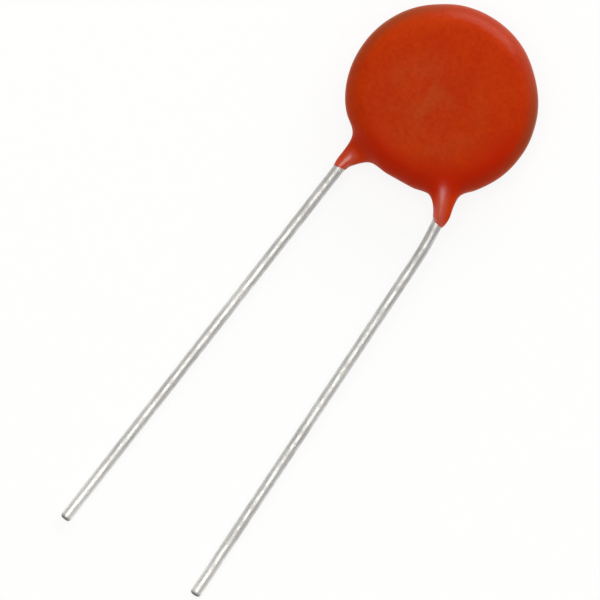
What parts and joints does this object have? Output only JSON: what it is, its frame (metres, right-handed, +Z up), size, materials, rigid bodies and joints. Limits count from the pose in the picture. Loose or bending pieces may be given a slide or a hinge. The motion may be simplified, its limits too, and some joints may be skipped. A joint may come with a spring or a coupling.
{
  "type": "ceramic disc capacitor",
  "caption": "Small round orange dipped disc with a pillow-like face and a pair of stiff tinned wire leads that leave one edge side by side, for soldering through a circuit board.",
  "frame": {"origin": "on the floor, under the middle of the whole length, with the disc's own axis on X = 0", "axes": "+Z up out of the disc's front face as the part lies on its rear face; +Y from the leads' tips towards the disc; +X to the side of the front lead"},
  "size_m": [0.011, 0.0372, 0.0034],
  "materials": {
    "coating": "satin",
    "tinned_wire": "satin",
    "ceramic": "matte",
    "silver_film": "matte",
    "solder": "satin"
  },
  "bodies": {
    "root": {"coating": "coating", "front_lead": "tinned_wire", "rear_lead": "tinned_wire", "ceramic_disc": "ceramic", "front_electrode": "silver_film", "rear_electrode": "silver_film", "front_solder": "solder", "rear_solder": "solder"}
  },
  "joints": []
}
